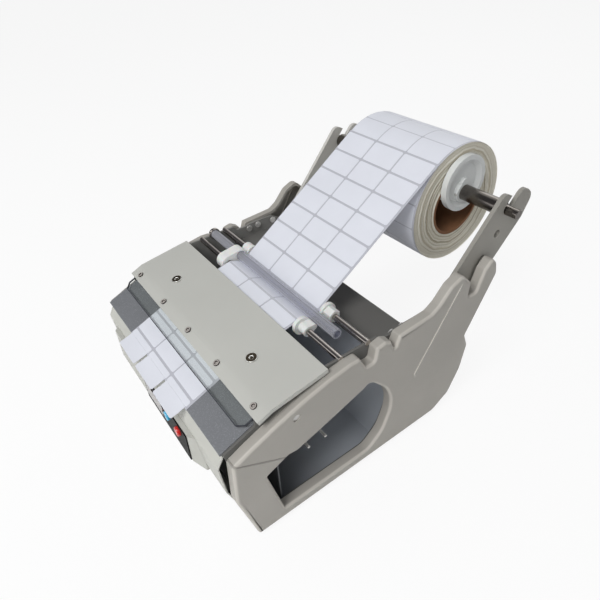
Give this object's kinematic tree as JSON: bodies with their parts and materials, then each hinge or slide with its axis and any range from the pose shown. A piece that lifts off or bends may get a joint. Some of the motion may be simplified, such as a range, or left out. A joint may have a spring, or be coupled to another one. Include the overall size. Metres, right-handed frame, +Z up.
{
  "type": "label peeling machine",
  "caption": "Table-top label peeler: a label roll on two arms feeds over guide rods and a peel edge, and the backing paper winds onto a driven two-prong spool.",
  "frame": {"origin": "centre of the bounding box at the level of the feet, under the middle of the machine", "axes": "+Z up, +X to the right seen from the front, +Y to the back; the peel edge and control panel face -Y"},
  "size_m": [0.26, 0.3842, 0.2565],
  "materials": {
    "shell_grey": "satin textured paint",
    "cover_grey": "satin light grey paint",
    "inner_dark": "matt dark grey paint",
    "tray_blue": "matt blue-grey paint",
    "peel_steel": "brushed",
    "steel": "ground steel",
    "screw": "polished",
    "motor_metal": "satin",
    "clear_tube": "clear",
    "clear_guard": "clear",
    "panel_black": "gloss",
    "console_grey": "satin",
    "display_red": "dark red filter",
    "nylon": "satin white",
    "black_plastic": "matt",
    "rubber": "matt",
    "board_green": "solder mask",
    "button_red": "gloss",
    "button_blue": "gloss",
    "rocker_red": "gloss",
    "paper_web": "coated label paper",
    "liner_paper": "glassine backing",
    "roll_paper": "wound paper",
    "core_card": "brown board"
  },
  "bodies": {
    "frame": {"right_shell": "shell_grey", "left_shell": "shell_grey", "right_side_plate": "inner_dark", "left_side_plate": "inner_dark", "base_plate": "inner_dark", "base_tray": "tray_blue", "rear_cover": "inner_dark", "top_cover": "cover_grey", "cover_brackets": "inner_dark", "peel_plate": "peel_steel", "clear_guard": "clear_guard", "front_fascia": "cover_grey", "console_housing": "console_grey", "control_panel": "panel_black", "display_window": "display_red", "front_rod": "steel", "rear_rod": "steel", "tube_pin": "steel", "liner_bar": "steel", "tie_bar": "steel", "right_arm": "shell_grey", "left_arm": "shell_grey", "arm_bolts": "screw", "shell_screws": "screw", "cover_screws": "screw", "guard_screws": "screw", "rubber_feet": "rubber", "rewind_motor": "motor_metal", "motor_screws": "screw", "control_board": "board_green", "board_standoffs": "steel", "label_sensor": "black_plastic", "power_inlet": "black_plastic", "inlet_pins": "screw", "switch_frame": "black_plastic", "label_web": "paper_web", "liner_return": "liner_paper", "peeled_labels": "paper_web"},
    "roll": {"roll_core": "core_card", "label_roll": "roll_paper"},
    "shaft": {"supply_shaft": "steel", "right_hub": "nylon", "left_hub": "nylon", "hub_screws": "screw"},
    "rewind": {"rewind_hub": "steel", "rewind_prongs": "steel", "rewound_liner": "liner_paper"},
    "tube": {"guide_tube": "clear_tube"},
    "left_front_collar": {"left_front_guide": "nylon"},
    "left_rear_collar": {"left_rear_guide": "nylon"},
    "right_front_collar": {"right_front_guide": "nylon"},
    "right_rear_collar": {"right_rear_guide": "nylon"},
    "red_push": {"red_button": "button_red"},
    "blue_push": {"blue_button": "button_blue"},
    "rocker": {"power_rocker": "rocker_red"}
  },
  "joints": [
    {"name": "roll_spin", "type": "hinge", "parent": "frame", "child": "roll", "pos_m": [0.003, 0.13213, 0.19652], "axis": [1, 0, 0], "continuous": true},
    {"name": "shaft_spin", "type": "hinge", "parent": "frame", "child": "shaft", "pos_m": [0, 0.13213, 0.21092], "axis": [1, 0, 0], "continuous": true},
    {"name": "rewind_spin", "type": "hinge", "parent": "frame", "child": "rewind", "pos_m": [0, -0.08445, 0.04958], "axis": [1, 0, 0], "continuous": true},
    {"name": "tube_spin", "type": "hinge", "parent": "frame", "child": "tube", "pos_m": [0, -0.04908, 0.15278], "axis": [1, 0, 0], "continuous": true},
    {"name": "left_front_slide", "type": "slide", "parent": "frame", "child": "left_front_collar", "axis": [1, 0, 0], "range_m": [-0.04, 0]},
    {"name": "left_rear_slide", "type": "slide", "parent": "frame", "child": "left_rear_collar", "axis": [1, 0, 0], "range_m": [-0.04, 0]},
    {"name": "right_front_slide", "type": "slide", "parent": "frame", "child": "right_front_collar", "axis": [1, 0, 0], "range_m": [0, 0.036]},
    {"name": "right_rear_slide", "type": "slide", "parent": "frame", "child": "right_rear_collar", "axis": [1, 0, 0], "range_m": [0, 0.036]},
    {"name": "red_press", "type": "slide", "parent": "frame", "child": "red_push", "axis": [0, 0.9994, -0.0332], "range_m": [0, 0.0015], "stiffness_N_per_m": 300},
    {"name": "blue_press", "type": "slide", "parent": "frame", "child": "blue_push", "axis": [0, 0.9994, -0.0332], "range_m": [0, 0.0015], "stiffness_N_per_m": 300},
    {"name": "power_rock", "type": "hinge", "parent": "frame", "child": "rocker", "pos_m": [-0.035, 0.04043, 0.05044], "axis": [-1, 0, 0], "range_deg": [0, 18]}
  ],
  "couplings": [
    {"joint": "shaft_spin", "follows": "roll_spin", "ratio": 1.9355},
    {"joint": "rewind_spin", "follows": "roll_spin", "ratio": -4.2857},
    {"joint": "tube_spin", "follows": "roll_spin", "ratio": -12.632}
  ]
}
